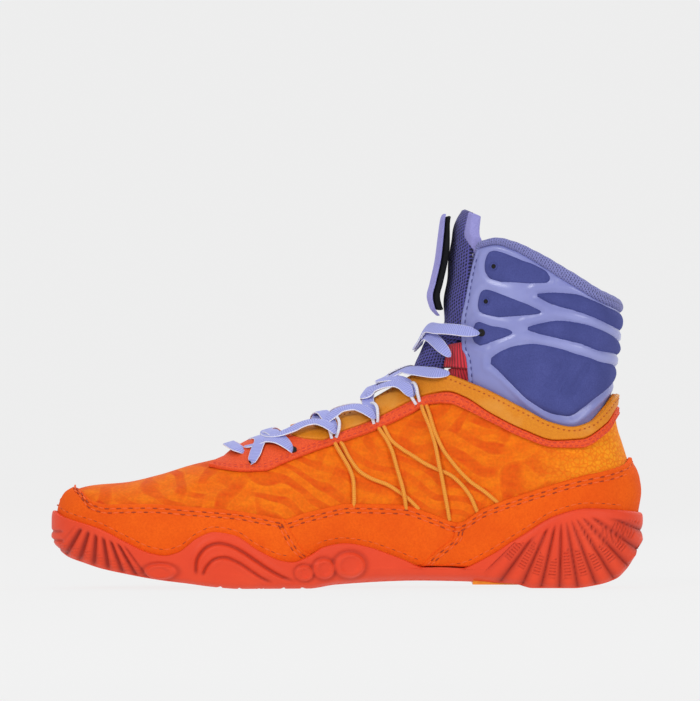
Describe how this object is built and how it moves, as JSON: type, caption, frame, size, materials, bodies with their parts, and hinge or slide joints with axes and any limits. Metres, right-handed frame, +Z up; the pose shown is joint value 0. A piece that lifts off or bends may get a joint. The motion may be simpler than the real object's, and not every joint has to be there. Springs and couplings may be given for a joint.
{
  "type": "wrestling shoe",
  "caption": "High-cut wrestling shoe for the right foot: orange textile upper, ribbed rubber cup sole, lilac moulded ankle shaft, laced throat with a cover.",
  "frame": {"origin": "on the floor under the middle of the shoe's bounding box", "axes": "+Z up, +X from the toe towards the heel, -Y the shoe's inner side"},
  "size_m": [0.292, 0.1028, 0.1872],
  "materials": {
    "sole_rubber": "matte",
    "plate_yellow": "satin",
    "footbed": "matte",
    "upper_textile": "matte",
    "guard_suede": "matte",
    "trim_red_orange": "matte",
    "eyestay_yellow": "matte",
    "shaft_lilac": "satin",
    "pad_violet": "matte",
    "tongue_mesh": "matte",
    "cover_lining_black": "matte",
    "cable_yellow": "satin",
    "cord_white": "matte",
    "lace_lilac": "matte"
  },
  "bodies": {
    "root": {"arch_plate": "plate_yellow", "cable_1a_inner": "cable_yellow", "cable_1a_outer": "cable_yellow", "cable_1b_inner": "cable_yellow", "cable_1b_outer": "cable_yellow", "cable_2a_inner": "cable_yellow", "cable_2a_outer": "cable_yellow", "cable_2b_inner": "cable_yellow", "cable_2b_outer": "cable_yellow", "cable_3a_inner": "cable_yellow", "cable_3a_outer": "cable_yellow", "cable_3b_inner": "cable_yellow", "cable_3b_outer": "cable_yellow", "collar_roll": "pad_violet", "cord_loop_1_inner": "cord_white", "cord_loop_1_outer": "cord_white", "cord_loop_2_inner": "cord_white", "cord_loop_2_outer": "cord_white", "cord_loop_3_inner": "cord_white", "cord_loop_3_outer": "cord_white", "eyestay": "eyestay_yellow", "heel_pad": "pad_violet", "insole": "footbed", "lace_cover": "shaft_lilac", "lace_cover_lining": "cover_lining_black", "lace_crossing_1": "lace_lilac", "lace_crossing_2": "lace_lilac", "lace_crossing_3": "lace_lilac", "lace_crossing_4": "lace_lilac", "lace_crossing_5": "lace_lilac", "lace_crossing_6": "lace_lilac", "lower_fin": "pad_violet", "mudguard_heel": "guard_suede", "mudguard_mid_inner": "guard_suede", "mudguard_mid_outer": "guard_suede", "mudguard_toe": "guard_suede", "outsole": "sole_rubber", "pad_lower_inner": "pad_violet", "pad_lower_outer": "pad_violet", "pad_middle_inner": "pad_violet", "pad_middle_outer": "pad_violet", "pad_upper_inner": "pad_violet", "pad_upper_outer": "pad_violet", "shaft": "shaft_lilac", "throat_overlay": "trim_red_orange", "tongue": "tongue_mesh", "tongue_pad": "shaft_lilac", "trim_band": "trim_red_orange", "upper": "upper_textile", "upper_fin": "pad_violet"}
  },
  "joints": []
}
